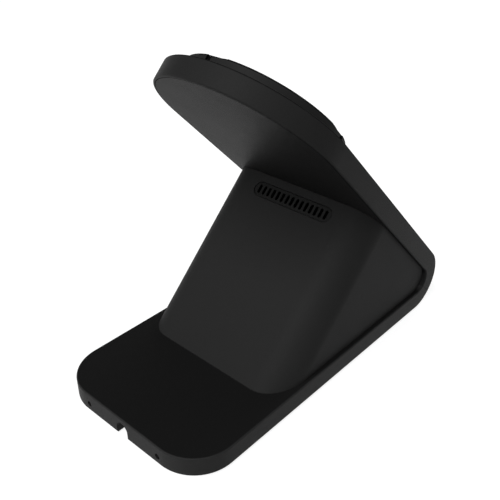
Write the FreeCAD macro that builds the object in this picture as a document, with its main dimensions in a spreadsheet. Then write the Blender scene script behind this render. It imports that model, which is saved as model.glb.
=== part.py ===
import FreeCAD, Part
import math
import os
import Sketcher

# Tablet charging station: a folded strip (base, bend and leaning plate with a round head), a wedge
# housing in its fold, and a round dock with sprung contacts on the front of the head.
# Frame: +Z up, front (the tablet's side) towards -Y, origin on the table under the middle of the base.

SIZES = (
    ("strip_width", "105", "width of the strip, and diameter of its round head"),
    ("strip_thick", "11.5", "thickness of the strip"),
    ("base_depth", "212.4", "back edge of the base to the front of the bend"),
    ("lean_angle", "45", "angle between the leaning plate and the base, in degrees"),
    ("bend_radius", "20", "outer radius of the bend"),
    ("corner_radius", "24", "radius of the base's two back corners"),
    ("head_height", "139.3", "height of the head's centre on the front face"),
    ("edge_round", "0.9", "rounding of the strip's long edges"),
    ("rim_side", "4.5", "side walls of the base tray"),
    ("rim_back", "9", "back wall of the base tray"),
    ("rim_front", "5", "solid land between the tray's pocket and the bend"),
    ("top_wall", "3.5", "wall over the tray's pocket"),
    ("cover_ledge", "1.5", "ledge that the bottom cover lies on"),
    ("cover_thick", "1.5", "bottom cover"),
    ("cover_gap", "0.2", "clearance round the bottom cover and the feet"),
    ("front_corner", "4", "corner radius at the front of the tray's pocket"),
    ("notch_width", "8", "cable notch in the back edge, and its channel"),
    ("notch_height", "8.4", "height of the cable notch"),
    ("rear_hole_radius", "1.5", "tapped holes in the back edge"),
    ("rear_hole_deep", "7", "depth of those holes"),
    ("rear_hole_spacing", "52.5", "distance between them"),
    ("rear_hole_height", "4.9", "height of them above the strip's underside"),
    ("bay_width", "32", "plug bay under the base"),
    ("bay_start", "45", "back edge of the base to the plug bay"),
    ("bay_length", "55", "length of the plug bay"),
    ("bar_spacing", "36", "clear width between the two ballast bars"),
    ("bar_thick", "6", "ballast bar"),
    ("bar_back", "16", "ballast bars from the back edge"),
    ("bar_end_gap", "1", "clearance at the front ends of the ballast bars"),
    ("foot_radius", "7", "rubber foot"),
    ("foot_thick", "1.5", "rubber foot"),
    ("foot_stand", "0.8", "how far the feet stand proud of the underside"),
    ("foot_half_span", "36", "feet from the middle line"),
    ("foot_back", "24", "back feet from the back edge"),
    ("foot_front", "11.4", "front feet from the front end of the tray's pocket"),
    ("boss_radius", "3.5", "screw boss"),
    ("cover_screw_back", "48", "back cover screws from the back edge"),
    ("cover_screw_front", "39.4", "front cover screws from the front end of the tray's pocket"),
    ("small_thread_radius", "1", "thread of the cover and board screws"),
    ("small_head_radius", "2.2", "head of those screws"),
    ("small_head_high", "0.8", "height of those heads"),
    ("small_screw_length", "5", "shank of those screws"),
    ("thread_radius", "1.5", "thread of the housing and plate screws"),
    ("head_radius", "2.75", "head of those screws"),
    ("head_high", "2", "height of those heads"),
    ("screw_gap", "0.08", "clearance of a screw in its hole"),
    ("head_gap", "0.5", "clearance round a screw head or boss"),
    ("flange_length", "32", "foot flange of the leaning plate, under the housing"),
    ("flange_width", "70", "foot flange"),
    ("flange_thick", "4", "foot flange"),
    ("flange_bite", "3", "how far the flange runs into the bend"),
    ("flange_screw_half_span", "26", "plate screws from the middle line"),
    ("flange_screw_back", "16", "plate screws behind the bend's centre"),
    ("housing_setback", "58.5", "back edge of the base to the housing's foot"),
    ("housing_inset", "2.5", "housing's sides inside the strip's sides"),
    ("housing_corner", "17", "round corners between the housing's rear face and sides"),
    ("housing_wall", "2.5", "wall of the housing"),
    ("housing_bend_room", "0.8", "housing's corner in the fold, more than the fold's own radius"),
    ("housing_boss_high", "12", "screw bosses in the housing"),
    ("housing_screw_back", "100", "back housing screws from the back edge"),
    ("housing_screw_front", "42.4", "front housing screws behind the bend's centre"),
    ("housing_screw_length", "11", "shank of the housing screws"),
    ("vent_drop", "9.2", "middle of the vent below the leaning plate"),
    ("vent_length", "54.2", "vent insert, end to end"),
    ("vent_height", "8.9", "vent insert"),
    ("vent_gap", "0.3", "clearance round the vent insert"),
    ("vent_sunk", "0.3", "vent insert below the rear face"),
    ("vent_flange", "2", "flange of the vent insert behind the wall"),
    ("vent_flange_thick", "1.2", "that flange"),
    ("slot_count", "15", "slots in the vent insert"),
    ("slot_pitch", "3.34", "slots"),
    ("slot_length", "5.5", "slots"),
    ("slot_width", "1.9", "slots"),
    ("board_width", "60", "main board"),
    ("board_length", "60", "main board"),
    ("board_thick", "1.6", "main board and inlet board"),
    ("board_gap", "10.4", "main board behind the plate's foot flange"),
    ("board_inset", "4", "board screws from the board's edges"),
    ("standoff_high", "4", "standoffs under the main board"),
    ("standoff_radius", "3", "standoffs"),
    ("inlet_width", "27", "inlet board"),
    ("inlet_length", "26", "inlet board"),
    ("inlet_standoff", "0.5", "standoffs over the inlet board"),
    ("socket_width", "9", "power socket"),
    ("socket_high", "3.2", "power socket"),
    ("socket_length", "8", "power socket"),
    ("socket_shell", "0.3", "wall of the power socket"),
    ("socket_deep", "6.5", "mouth of the power socket"),
    ("socket_overhang", "2", "power socket past the inlet board's edge, in front of the plug bay"),
    ("tongue_width", "6.7", "contact tongue in the socket"),
    ("tongue_thick", "0.7", "contact tongue in the socket"),
    ("tongue_short", "1.5", "contact tongue behind the mouth"),
    ("header_width", "16", "header between the two boards"),
    ("header_length", "5", "header between the two boards"),
    ("header_gap", "1", "clearance of the header in the base's window"),
    ("header_ahead", "11", "header from the inlet board's back edge"),
    ("core_width", "20", "transformer core"),
    ("core_length", "18", "transformer core"),
    ("core_high", "13", "transformer core"),
    ("core_side", "12", "transformer from the middle line"),
    ("core_leg", "3.5", "legs and bridges of the core"),
    ("winding_gap", "0.6", "winding inside the core's outer legs"),
    ("capacitor_radius", "5", "capacitors"),
    ("capacitor_high", "15", "capacitors"),
    ("capacitor_pitch", "13", "capacitors"),
    ("capacitor_count", "3", "capacitors"),
    ("capacitor_side", "18", "capacitors from the middle line"),
    ("ribbon_width", "12", "ribbon cable from the main board to the contacts"),
    ("ribbon_thick", "0.3", "ribbon cable"),
    ("ribbon_bend", "8", "its bend beside the fold"),
    ("ribbon_clear", "1.5", "ribbon cable behind the leaning plate"),
    ("ribbon_rise", "12", "length over which it passes into the plate"),
    ("connector_width", "15", "ribbon connector"),
    ("connector_length", "4", "ribbon connector"),
    ("connector_high", "2.4", "ribbon connector"),
    ("passage_width", "16", "ribbon passage inside the leaning plate"),
    ("passage_cover", "3.2", "plate left in front of the passage"),
    ("window_length", "22", "passage's window behind the plate"),
    ("window_below", "6", "window below the housing's rear wall"),
    ("pocket_radius", "27", "pocket in the head, under the dock"),
    ("pocket_deep", "8", "pocket in the head"),
    ("dock_radius", "44", "dock ring"),
    ("dock_high", "6.3", "dock ring above the front face"),
    ("dock_floor", "3", "floor of the dock ring"),
    ("dock_round", "0.8", "rounding of the dock ring's edge"),
    ("face_radius", "36", "face disc in the dock ring"),
    ("face_thick", "1.5", "face disc"),
    ("face_ledge", "1.5", "ledge under the face disc"),
    ("face_gap", "0.15", "clearance round the face disc"),
    ("key_count", "2", "key notches of each hand in the dock ring"),
    ("key_inward", "1.8", "key notches, from the ring's edge"),
    ("key_from", "4.2", "near side of a key notch's entry, from the notch's middle"),
    ("key_to", "7.6", "far side of that entry"),
    ("key_low", "2.5", "floor of that entry above the front face"),
    ("key_ramp", "5", "ramp of a key notch, past the notch's middle"),
    ("key_drop", "1.6", "ramp below the ring's top, at the entry"),
    ("key_end", "0.3", "ramp below the ring's top, at its far end"),
    ("dock_screw_circle", "31", "dock screws from the dock's centre"),
    ("dock_screw_length", "8", "shank of the dock screws"),
    ("dock_head_high", "1.6", "heads of the dock screws"),
    ("magnet_circle", "21.5", "magnets from the dock's centre"),
    ("magnet_radius", "5", "magnets"),
    ("magnet_seat", "1", "depth of the magnets' seats"),
    ("magnet_gap", "0.1", "clearance of the magnets in their seats"),
    ("magnet_count", "8", "magnets"),
    ("contact_count", "5", "sprung contacts"),
    ("contact_pitch", "4", "sprung contacts"),
    ("block_radius", "3.5", "half the width of the contact block"),
    ("block_margin", "2", "contact block past the last contacts, to its rounding's centre"),
    ("block_gap", "0.2", "clearance round the contact block"),
    ("block_flange", "3", "flange of the contact block behind the dock's floor"),
    ("block_flange_thick", "1.5", "that flange"),
    ("contact_board_width", "36", "contact board"),
    ("contact_board_length", "22", "contact board"),
    ("contact_board_thick", "1.2", "contact board"),
    ("contact_board_deep", "3.8", "contact board's top below the front face"),
    ("post_radius", "2.5", "posts under the contact board"),
    ("post_half_span", "14", "posts from the middle line"),
    ("post_up", "7", "posts from the head's centre, up the slope"),
    ("tip_radius", "0.8", "tip of a sprung contact"),
    ("tip_proud", "1.3", "tip above the face disc"),
    ("tip_round", "0.6", "rounding of the tip"),
    ("collar_radius", "1.15", "collar of a sprung contact"),
    ("collar_thick", "1.9", "collar of a sprung contact"),
    ("collar_under", "2.8", "collar's stop below the face disc's top"),
    ("collar_play", "0.1", "collar below its stop at rest"),
    ("contact_gap", "0.06", "running clearance of a contact in its bore"),
    ("coil_radius", "0.8", "middle radius of a contact spring"),
    ("coil_wire", "0.3", "wire of a contact spring"),
    ("coil_turns", "4", "turns of a contact spring"),
)


class Size:
    """A size that carries its spreadsheet formula along with its value."""

    def __init__(self, formula, value):
        self.formula = formula
        self.value = value

    def __add__(self, other):
        other = as_size(other)
        return Size(f"({self.formula} + {other.formula})", self.value + other.value)

    def __sub__(self, other):
        other = as_size(other)
        return Size(f"({self.formula} - {other.formula})", self.value - other.value)

    def __mul__(self, other):
        other = as_size(other)
        return Size(f"({self.formula} * {other.formula})", self.value * other.value)

    def __truediv__(self, other):
        other = as_size(other)
        return Size(f"({self.formula} / {other.formula})", self.value / other.value)

    def __neg__(self):
        return Size(f"(0 - {self.formula})", -self.value)


def as_size(item):
    return item if isinstance(item, Size) else Size(str(item), item)


def sine(angle):
    return Size(f"sin({angle.formula})", math.sin(math.radians(angle.value)))


def cosine(angle):
    return Size(f"cos({angle.formula})", math.cos(math.radians(angle.value)))


def tangent(angle):
    return Size(f"tan({angle.formula})", math.tan(math.radians(angle.value)))


class Sheet:
    """The spreadsheet of driving sizes, with each one at hand as an attribute."""

    def __init__(self, document):
        cells = document.addObject("Spreadsheet::Sheet", "sizes")
        for row, (name, value, meaning) in enumerate(SIZES, 1):
            cells.set(f"A{row}", name)
            cells.set(f"B{row}", value)
            cells.set(f"C{row}", meaning)
            cells.setAlias(f"B{row}", name)
            setattr(self, name, Size(f"sizes.{name}", float(value)))


ZERO = Size("0", 0)

doc = FreeCAD.newDocument("charging_station")
d = Sheet(doc)
doc.recompute()

# Lines of the folded strip, seen from the side: Y from the middle of the base, Z from its underside.
half_width = d.strip_width / 2
half_depth = d.base_depth / 2
fold_radius = d.bend_radius - d.strip_thick
corner_run = d.bend_radius / tangent(d.lean_angle / 2)
bend_y = d.bend_radius - half_depth
front_corner_y = bend_y - corner_run
fold_corner_y = front_corner_y + d.strip_thick / tangent(d.lean_angle / 2)
head_y = front_corner_y + d.head_height / tangent(d.lean_angle)
ceiling = d.strip_thick - d.top_wall
pocket_front_y = bend_y + d.rim_front

# Levels of the boards above the strip's underside.
board_under = d.strip_thick + d.standoff_high
board_top = board_under + d.board_thick
board_front_y = bend_y + d.flange_length + d.board_gap
board_back_y = board_front_y + d.board_length
board_middle_y = board_front_y + d.board_length / 2
inlet_top = ceiling - d.inlet_standoff
inlet_under = inlet_top - d.board_thick
inlet_back = d.bay_start + d.bay_length + d.socket_overhang
header_middle = inlet_back + d.header_ahead + d.header_length / 2

# Levels of the dock in front of the head's front face, and behind it.
face_under = d.dock_high - d.face_thick
collar_stop = d.dock_high - d.collar_under
collar_top = collar_stop - d.collar_play
collar_base = collar_top - d.collar_thick
contact_board_under = ZERO - d.contact_board_deep - d.contact_board_thick


def behind(distance):
    """Y of a place that lies this far in front of the base's back edge."""
    return half_depth - distance


def on_head(y, z):
    """A place of the base's frame, as (up the slope, out of the front face) from the head's centre."""
    up = (y - head_y) * cosine(d.lean_angle) + (z - d.head_height) * sine(d.lean_angle)
    out = (z - d.head_height) * cosine(d.lean_angle) - (y - head_y) * sine(d.lean_angle)
    return up, out


def on_base(up, out):
    """A place of the head's frame, as (Y, Z) of the base's frame."""
    y = head_y + up * cosine(d.lean_angle) - out * sine(d.lean_angle)
    z = d.head_height + up * sine(d.lean_angle) + out * cosine(d.lean_angle)
    return y, z


def slope_at(out, z):
    """Where a line parallel to the front face, this far out of it, crosses height z."""
    up = (z - d.head_height - out * cosine(d.lean_angle)) / sine(d.lean_angle)
    return on_base(up, out)


rear_up = on_head(behind(d.housing_setback), d.strip_thick)[0]
vent_reach = d.vent_length / 2 - d.vent_height / 2
vent_ends = ((-vent_reach, -d.strip_thick - d.vent_drop), (vent_reach, -d.strip_thick - d.vent_drop))


def spot(x, y, z, tilt):
    """Formula of a place, turned about X."""
    x, y, z, tilt = (as_size(item).formula for item in (x, y, z, tilt))
    return f"placement(vector({x}; {y}; {z}); rotation(vector(1; 0; 0); {tilt}))"


BASE = spot(0, 0, d.foot_stand, 0)
HEAD = spot(0, head_y, d.head_height + d.foot_stand, d.lean_angle)


def new_body(label, place, group=False):
    body = doc.addObject("PartDesign::Body", label)
    body.Label = label
    body.AllowCompound = group
    body.setExpression("Placement", place)
    return body


def new_sketch(body, plane, place):
    """A sketch on one of the body's own planes, moved by a place on that plane."""
    sketch = body.newObject("Sketcher::SketchObject", f"{body.Name}_sketch")
    support = next(item for item in body.Origin.OriginFeatures if item.Role == plane)
    sketch.AttachmentSupport = [(support, "")]
    sketch.MapMode = "FlatFace"
    sketch.setExpression("AttachmentOffset", place)
    return sketch


def flat_sketch(body, height):
    return new_sketch(body, "XY_Plane", spot(0, 0, height, 0))


def side_sketch(body):
    return new_sketch(body, "YZ_Plane", spot(0, 0, 0, 0))


def bind(sketch, kind, *items):
    """Add a dimension to a sketch and tie it to its formula."""
    size = as_size(items[-1])
    row = sketch.addConstraint(Sketcher.Constraint(kind, *items[:-1], size.value))
    sketch.setExpression(f"Constraints[{row}]", size.formula)


def pin_down(sketch, item, end, x, y):
    bind(sketch, "DistanceX", -1, 1, item, end, x)
    bind(sketch, "DistanceY", -1, 1, item, end, y)


def join(sketch, kind, *items):
    sketch.addConstraint(Sketcher.Constraint(kind, *items))


def polygon(sketch, *corners):
    """A closed outline. A corner is (x, y), or (x, y, radius) where it is rounded."""
    points = [FreeCAD.Vector(as_size(c[0]).value, as_size(c[1]).value, 0) for c in corners]
    count = len(points)
    line_starts = []
    line_ends = []
    for index, corner in enumerate(corners):
        point = points[index]
        to_last = (points[index - 1] - point).normalize()
        to_next = (points[(index + 1) % count] - point).normalize()
        cut = corner[2].value / math.tan(to_last.getAngle(to_next) / 2) if len(corner) == 3 else 0
        line_ends.append(point + to_last * cut)
        line_starts.append(point + to_next * cut)
    lines = []
    for index in range(count):
        line = Part.LineSegment(line_starts[index], line_ends[(index + 1) % count])
        lines.append(sketch.addGeometry(line, False))
    for index, corner in enumerate(corners):
        last, line = lines[index - 1], lines[index]
        if len(corner) == 2:
            join(sketch, "Coincident", last, 2, line, 1)
            pin_down(sketch, line, 1, *corner)
        else:
            round_corner(sketch, last, line, points[index], line_ends[index], line_starts[index], corner)


def round_corner(sketch, last, line, point, end, start, corner):
    """An arc between two lines of an outline, whose sharp corner stays as a construction point."""
    radius = corner[2]
    chord_middle = (end + start) / 2
    inward = (chord_middle - point).normalize()
    centre = point + inward * math.hypot(radius.value, (end - point).Length)
    turns_left = (point - end).cross(start - point).z > 0
    first, second = (end, start) if turns_left else (start, end)
    angles = [math.atan2(item.y - centre.y, item.x - centre.x) for item in (first, second)]
    circle_line = Part.Circle(centre, FreeCAD.Vector(0, 0, 1), radius.value)
    arc = sketch.addGeometry(Part.ArcOfCircle(circle_line, *angles), False)
    mark = sketch.addGeometry(Part.Point(point), True)
    join(sketch, "Tangent", last, 2, arc, 1 if turns_left else 2)
    join(sketch, "Tangent", line, 1, arc, 2 if turns_left else 1)
    join(sketch, "PointOnObject", mark, 1, last)
    join(sketch, "PointOnObject", mark, 1, line)
    bind(sketch, "Radius", arc, radius)
    pin_down(sketch, mark, 1, corner[0], corner[1])


def rectangle(sketch, x0, x1, y0, y1, radius=None):
    corners = ((x0, y0), (x1, y0), (x1, y1), (x0, y1))
    polygon(sketch, *(corner + (radius,) if radius else corner for corner in corners))


def circle(sketch, x, y, radius):
    centre = FreeCAD.Vector(as_size(x).value, as_size(y).value, 0)
    item = sketch.addGeometry(Part.Circle(centre, FreeCAD.Vector(0, 0, 1), radius.value), False)
    pin_down(sketch, item, 3, x, y)
    bind(sketch, "Radius", item, radius)


def stadium(sketch, first, second, radius):
    """A slot outline with round ends about two centres, each (x, y)."""
    centres = [FreeCAD.Vector(as_size(c[0]).value, as_size(c[1]).value, 0) for c in (first, second)]
    along = centres[1] - centres[0]
    aside = FreeCAD.Vector(-along.y, along.x, 0).normalize() * radius.value
    heading = math.atan2(along.y, along.x)
    arcs = []
    for centre, turn in zip(centres, (math.pi / 2, -math.pi / 2)):
        ring = Part.Circle(centre, FreeCAD.Vector(0, 0, 1), radius.value)
        arc = Part.ArcOfCircle(ring, heading + turn, heading + turn + math.pi)
        arcs.append(sketch.addGeometry(arc, False))
    lower = sketch.addGeometry(Part.LineSegment(centres[0] - aside, centres[1] - aside), False)
    upper = sketch.addGeometry(Part.LineSegment(centres[1] + aside, centres[0] + aside), False)
    join(sketch, "Tangent", arcs[0], 2, lower, 1)
    join(sketch, "Tangent", lower, 2, arcs[1], 1)
    join(sketch, "Tangent", arcs[1], 2, upper, 1)
    join(sketch, "Tangent", upper, 2, arcs[0], 1)
    for arc, centre in zip(arcs, (first, second)):
        pin_down(sketch, arc, 3, *centre)
        bind(sketch, "Radius", arc, radius)


def pad(body, sketch, length, both_ways=False, downwards=False):
    feature = body.newObject("PartDesign::Pad", f"{body.Name}_pad")
    feature.Profile = sketch
    feature.Midplane = both_ways
    feature.Reversed = downwards
    feature.setExpression("Length", as_size(length).formula)
    doc.recompute()
    return feature


def pocket(body, sketch, length, both_ways=False, forwards=False):
    """A cut behind the sketch, or in front of it. One that takes nothing away is an error."""
    volume = body.Shape.Volume
    feature = body.newObject("PartDesign::Pocket", f"{body.Name}_pocket")
    feature.Profile = sketch
    feature.Midplane = both_ways
    feature.Reversed = forwards
    feature.setExpression("Length", as_size(length).formula)
    doc.recompute()
    if not body.Shape.Volume < volume:
        raise ValueError(f"{feature.Name} cuts nothing")
    return feature


def revolve(body, sketch):
    feature = body.newObject("PartDesign::Revolution", f"{body.Name}_turned")
    feature.Profile = sketch
    feature.ReferenceAxis = (sketch, ["V_Axis"])
    feature.Angle = 360
    doc.recompute()
    return feature


def axis_of(body, role):
    return next(item for item in body.Origin.OriginFeatures if item.Role == role)


def around(body, feature, count):
    """Copies of a feature, evenly round the body's Z axis."""
    pattern = body.newObject("PartDesign::PolarPattern", f"{body.Name}_round")
    pattern.Originals = [feature]
    pattern.Axis = (axis_of(body, "Z_Axis"), [""])
    pattern.Angle = 360
    pattern.setExpression("Occurrences", count.formula)
    body.Tip = pattern
    doc.recompute()


def in_line(body, feature, role, pitch, count):
    """Copies of a feature, in a row along one of the body's axes."""
    pattern = body.newObject("PartDesign::LinearPattern", f"{body.Name}_row")
    pattern.Originals = [feature]
    pattern.Direction = (axis_of(body, role), [""])
    pattern.setExpression("Length", (pitch * (count - 1)).formula)
    pattern.setExpression("Occurrences", count.formula)
    body.Tip = pattern
    doc.recompute()


def fillet(body, radius, wanted):
    """Round the edges whose middle and curve pass the test."""
    base = body.Tip
    names = []
    for number, edge in enumerate(base.Shape.Edges, 1):
        middle = edge.valueAt((edge.FirstParameter + edge.LastParameter) / 2)
        if wanted(middle, edge):
            names.append(f"Edge{number}")
    if not names:
        raise ValueError(f"{body.Name} has no such edge")
    feature = body.newObject("PartDesign::Fillet", f"{body.Name}_fillet")
    feature.Base = (base, names)
    feature.setExpression("Radius", radius.formula)
    doc.recompute()


def near(a, b):
    return abs(a - as_size(b).value) < 1e-4


def on_strip_side(middle):
    return near(abs(middle.x), half_width)


def mirrored(half_span, *rows):
    """Places on both sides of the middle line, in rows across at some Y."""
    return [(x, y) for y in rows for x in (-half_span, half_span)]


def screws(label, place, places, under_head, thread, head, head_high, shank, head_above):
    """Pan-head screws: heads on one side of a level, shanks on the other."""
    body = new_body(label, place, group=True)
    for radius, length, above in ((head, head_high, head_above), (thread, shank, not head_above)):
        sketch = flat_sketch(body, under_head)
        for x, y in places:
            circle(sketch, x, y, radius)
        pad(body, sketch, length, downwards=not above)
    return body


def drill(body, height, places, radius, length, upwards):
    sketch = flat_sketch(body, height)
    for x, y in places:
        circle(sketch, x, y, radius)
    pocket(body, sketch, length, forwards=upwards)


def raise_posts(body, height, places, radius, length):
    sketch = flat_sketch(body, height)
    for x, y in places:
        circle(sketch, x, y, radius)
    pad(body, sketch, length)


boss_half_span = half_width - d.rim_side - d.head_radius - d.head_gap
bar_inside = d.bar_spacing / 2
bar_outside = boss_half_span - d.head_radius - d.head_gap
cover_screw_level = d.small_head_high + d.cover_gap
cover_screw_places = mirrored(
    (bar_inside + bar_outside) / 2, behind(d.cover_screw_back), pocket_front_y + d.cover_screw_front
)
foot_places = mirrored(d.foot_half_span, behind(d.foot_back), pocket_front_y + d.foot_front)
housing_screw_places = mirrored(
    boss_half_span, behind(d.housing_screw_back), bend_y + d.housing_screw_front
)
flange_screw_places = mirrored(d.flange_screw_half_span, bend_y + d.flange_screw_back)
board_screw_places = mirrored(
    d.board_width / 2 - d.board_inset, board_front_y + d.board_inset, board_back_y - d.board_inset
)
post_places = [(-d.post_half_span, d.post_up), (d.post_half_span, d.post_up)]
diagonal = d.dock_screw_circle * math.sqrt(0.5)
dock_screw_places = mirrored(diagonal, -diagonal, diagonal)
contact_total = int(d.contact_count.value)
contact_places = [d.contact_pitch * (i - (contact_total - 1) / 2) for i in range(contact_total)]
block_reach = d.contact_pitch * (d.contact_count - 1) / 2 + d.block_margin
inlet_screw_places = mirrored(
    d.inlet_width / 2 - d.board_inset, behind(inlet_back + d.inlet_length - d.board_inset)
)


def base_tray():
    """Cast base: a flat plate with a pocket underneath, turned up at the front to meet the plate."""
    body = new_body("base_tray", BASE)
    rise = corner_run * 2
    top_y = front_corner_y + rise * cosine(d.lean_angle)
    top_z = rise * sine(d.lean_angle)
    sketch = side_sketch(body)
    polygon(
        sketch,
        (half_depth, ZERO),
        (half_depth, d.strip_thick),
        (fold_corner_y, d.strip_thick, fold_radius),
        (top_y + d.strip_thick * sine(d.lean_angle), top_z - d.strip_thick * cosine(d.lean_angle)),
        (top_y, top_z),
        (front_corner_y, ZERO, d.bend_radius),
    )
    pad(body, sketch, d.strip_width, both_ways=True)
    # The seam with the leaning plate runs through the bend's centre, parallel to the plate.
    seam_up, seam_out = on_head(bend_y, d.bend_radius)
    low, high = seam_up - d.bend_radius * 2, seam_up + rise
    outer = seam_out + d.bend_radius * 2
    sketch = side_sketch(body)
    beyond_seam = ((low, seam_out), (high, seam_out), (high, outer), (low, outer))
    polygon(sketch, *(on_base(*corner) for corner in beyond_seam))
    pocket(body, sketch, d.strip_width * 2, both_ways=True)
    fillet(body, d.corner_radius, lambda m, e: on_strip_side(m) and near(m.y, half_depth))

    def long_edge(middle, edge):
        level = near(middle.z, 0) or near(middle.z, d.strip_thick)
        corner = edge.Curve.TypeId == "Part::GeomCircle" and near(edge.Curve.Radius, d.corner_radius)
        bend = edge.Curve.TypeId == "Part::GeomCircle" and on_strip_side(middle)
        return bend or level and (corner or on_strip_side(middle) or near(middle.y, half_depth))

    fillet(body, d.edge_round, long_edge)
    # The recess for the bottom cover, and the pocket above it.
    for wider, deep in ((d.cover_ledge, d.cover_thick), (ZERO, ceiling)):
        sketch = flat_sketch(body, 0)
        x = half_width - d.rim_side + wider
        back = behind(d.rim_back - wider)
        front = pocket_front_y - wider
        back_corner = d.corner_radius - d.rim_side + wider
        polygon(
            sketch,
            (-x, front, d.front_corner),
            (x, front, d.front_corner),
            (x, back, back_corner),
            (-x, back, back_corner),
        )
        pocket(body, sketch, deep, forwards=True)
    # Bosses for the cover screws, the inlet board and the main board.
    raise_posts(body, d.cover_thick, cover_screw_places, d.boss_radius, ceiling - d.cover_thick)
    raise_posts(body, inlet_top, inlet_screw_places, d.small_head_radius, d.inlet_standoff)
    raise_posts(body, d.strip_thick, board_screw_places, d.standoff_radius, d.standoff_high)
    small_hole = d.small_thread_radius + d.screw_gap
    hole = d.thread_radius + d.screw_gap
    drill(body, d.cover_thick, cover_screw_places, small_hole, d.small_screw_length, True)
    drill(body, inlet_top, inlet_screw_places, small_hole, d.small_screw_length - d.board_thick, True)
    drill(body, board_under, board_screw_places, small_hole, d.small_screw_length - d.board_thick, False)
    drill(body, ceiling, housing_screw_places + flange_screw_places, hole, d.top_wall, True)
    # The window for the header between the boards.
    sketch = flat_sketch(body, ceiling)
    x = d.header_width / 2 + d.header_gap
    y = d.header_length / 2 + d.header_gap
    rectangle(sketch, -x, x, behind(header_middle) - y, behind(header_middle) + y, d.header_gap)
    pocket(body, sketch, d.top_wall, forwards=True)
    # The cable notch and the two tapped holes in the back edge.
    sketch = new_sketch(body, "XZ_Plane", spot(0, 0, -half_depth, 0))
    arch = d.notch_width / 2
    stadium(sketch, (ZERO, -arch), (ZERO, d.notch_height - arch), arch)
    pocket(body, sketch, d.rim_back, forwards=True)
    sketch = new_sketch(body, "XZ_Plane", spot(0, 0, -half_depth, 0))
    for x in (-d.rear_hole_spacing / 2, d.rear_hole_spacing / 2):
        circle(sketch, x, d.rear_hole_height, d.rear_hole_radius)
    pocket(body, sketch, d.rear_hole_deep, forwards=True)
    return body


def back_plate():
    """Cast leaning plate: round head above, the rest of the bend and a screwed foot flange below."""
    body = new_body("back_plate", HEAD)
    bend_up, bend_out = on_head(bend_y, d.bend_radius)
    sketch = side_sketch(body)
    polygon(
        sketch,
        (ZERO, -d.strip_thick),
        (ZERO, ZERO),
        (bend_up - d.bend_radius, ZERO, d.bend_radius),
        (bend_up - d.bend_radius, bend_out - fold_radius),
        (bend_up - fold_radius, bend_out - fold_radius),
        (bend_up - fold_radius, -d.strip_thick, fold_radius),
    )
    pad(body, sketch, d.strip_width, both_ways=True)
    # The bend ends at the seam with the base.
    sketch = side_sketch(body)
    rectangle(sketch, bend_up - d.bend_radius * 2, bend_up, bend_out - d.bend_radius, bend_out)
    pocket(body, sketch, d.strip_width * 2, both_ways=True)
    sketch = flat_sketch(body, 0)
    circle(sketch, ZERO, ZERO, half_width)
    pad(body, sketch, d.strip_thick, downwards=True)

    def long_edge(middle, edge):
        level = near(middle.z, 0) or near(middle.z, -d.strip_thick)
        rounded = edge.Curve.TypeId == "Part::GeomCircle"
        on_head_rim = rounded and near(edge.Curve.Radius, half_width)
        return on_head_rim or on_strip_side(middle) and (level or rounded)

    fillet(body, d.edge_round, long_edge)
    # The foot flange lies on the base in the fold.
    bite = fold_radius + d.flange_bite
    bite_y = bend_y - bite * cosine(d.lean_angle)
    flange_top = d.strip_thick + d.flange_thick
    outline = (
        (bend_y + d.flange_length, d.strip_thick),
        (bend_y, d.strip_thick),
        (bend_y - fold_radius * cosine(d.lean_angle), d.bend_radius - fold_radius * sine(d.lean_angle)),
        (bite_y, d.bend_radius - bite * sine(d.lean_angle)),
        (bite_y, flange_top),
        (bend_y + d.flange_length, flange_top),
    )
    sketch = side_sketch(body)
    polygon(sketch, *(on_head(*corner) for corner in outline))
    pad(body, sketch, d.flange_width, both_ways=True)
    sketch = new_sketch(body, "XY_Plane", spot(0, *on_head(ZERO, d.strip_thick), -d.lean_angle))
    for x, y in flange_screw_places:
        circle(sketch, x, y, d.thread_radius + d.screw_gap)
    pocket(body, sketch, d.flange_thick, forwards=True)
    # The pocket under the dock, its posts, and the passage for the ribbon cable.
    drill(body, 0, [(ZERO, ZERO)], d.pocket_radius, d.pocket_deep, False)
    raise_posts(body, -d.pocket_deep, post_places, d.post_radius, d.pocket_deep + contact_board_under)
    small_hole = d.small_thread_radius + d.screw_gap
    post_hole_deep = d.small_screw_length - d.contact_board_thick
    drill(body, contact_board_under, post_places, small_hole, post_hole_deep, False)
    dock_hole_deep = d.dock_screw_length - d.dock_floor
    drill(body, 0, dock_screw_places, d.thread_radius + d.screw_gap, dock_hole_deep, False)
    window_top = rear_up - d.housing_wall - d.window_below
    window_low = window_top - d.window_length
    through = -d.strip_thick * 2
    sketch = side_sketch(body)
    polygon(
        sketch,
        (ZERO, -d.passage_cover),
        (window_low, -d.passage_cover),
        (window_low, through),
        (window_top, through),
        (window_top, -d.pocket_deep),
        (ZERO, -d.pocket_deep),
    )
    pocket(body, sketch, d.passage_width, both_ways=True)
    return body


def plate_screws():
    """Screws from the tray's pocket into the leaning plate's foot flange."""
    shank = d.top_wall + d.flange_thick
    return screws(
        "plate_screws",
        BASE,
        flange_screw_places,
        ceiling,
        d.thread_radius,
        d.head_radius,
        d.head_high,
        shank,
        False,
    )


def ballast_bars():
    """Two flat steel bars beside the cable channel, cleared for the bosses and screw heads."""
    body = new_body("ballast_bars", BASE, group=True)
    sketch = flat_sketch(body, d.cover_thick)
    front = pocket_front_y + d.bar_end_gap
    rectangle(sketch, bar_inside, bar_outside, front, behind(d.bar_back))
    rectangle(sketch, -bar_outside, -bar_inside, front, behind(d.bar_back))
    pad(body, sketch, d.bar_thick)
    drill(body, d.cover_thick, cover_screw_places, d.boss_radius + d.head_gap, d.bar_thick, True)
    drill(body, d.cover_thick, flange_screw_places, d.head_radius + d.head_gap, d.bar_thick, True)
    return body


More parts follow.
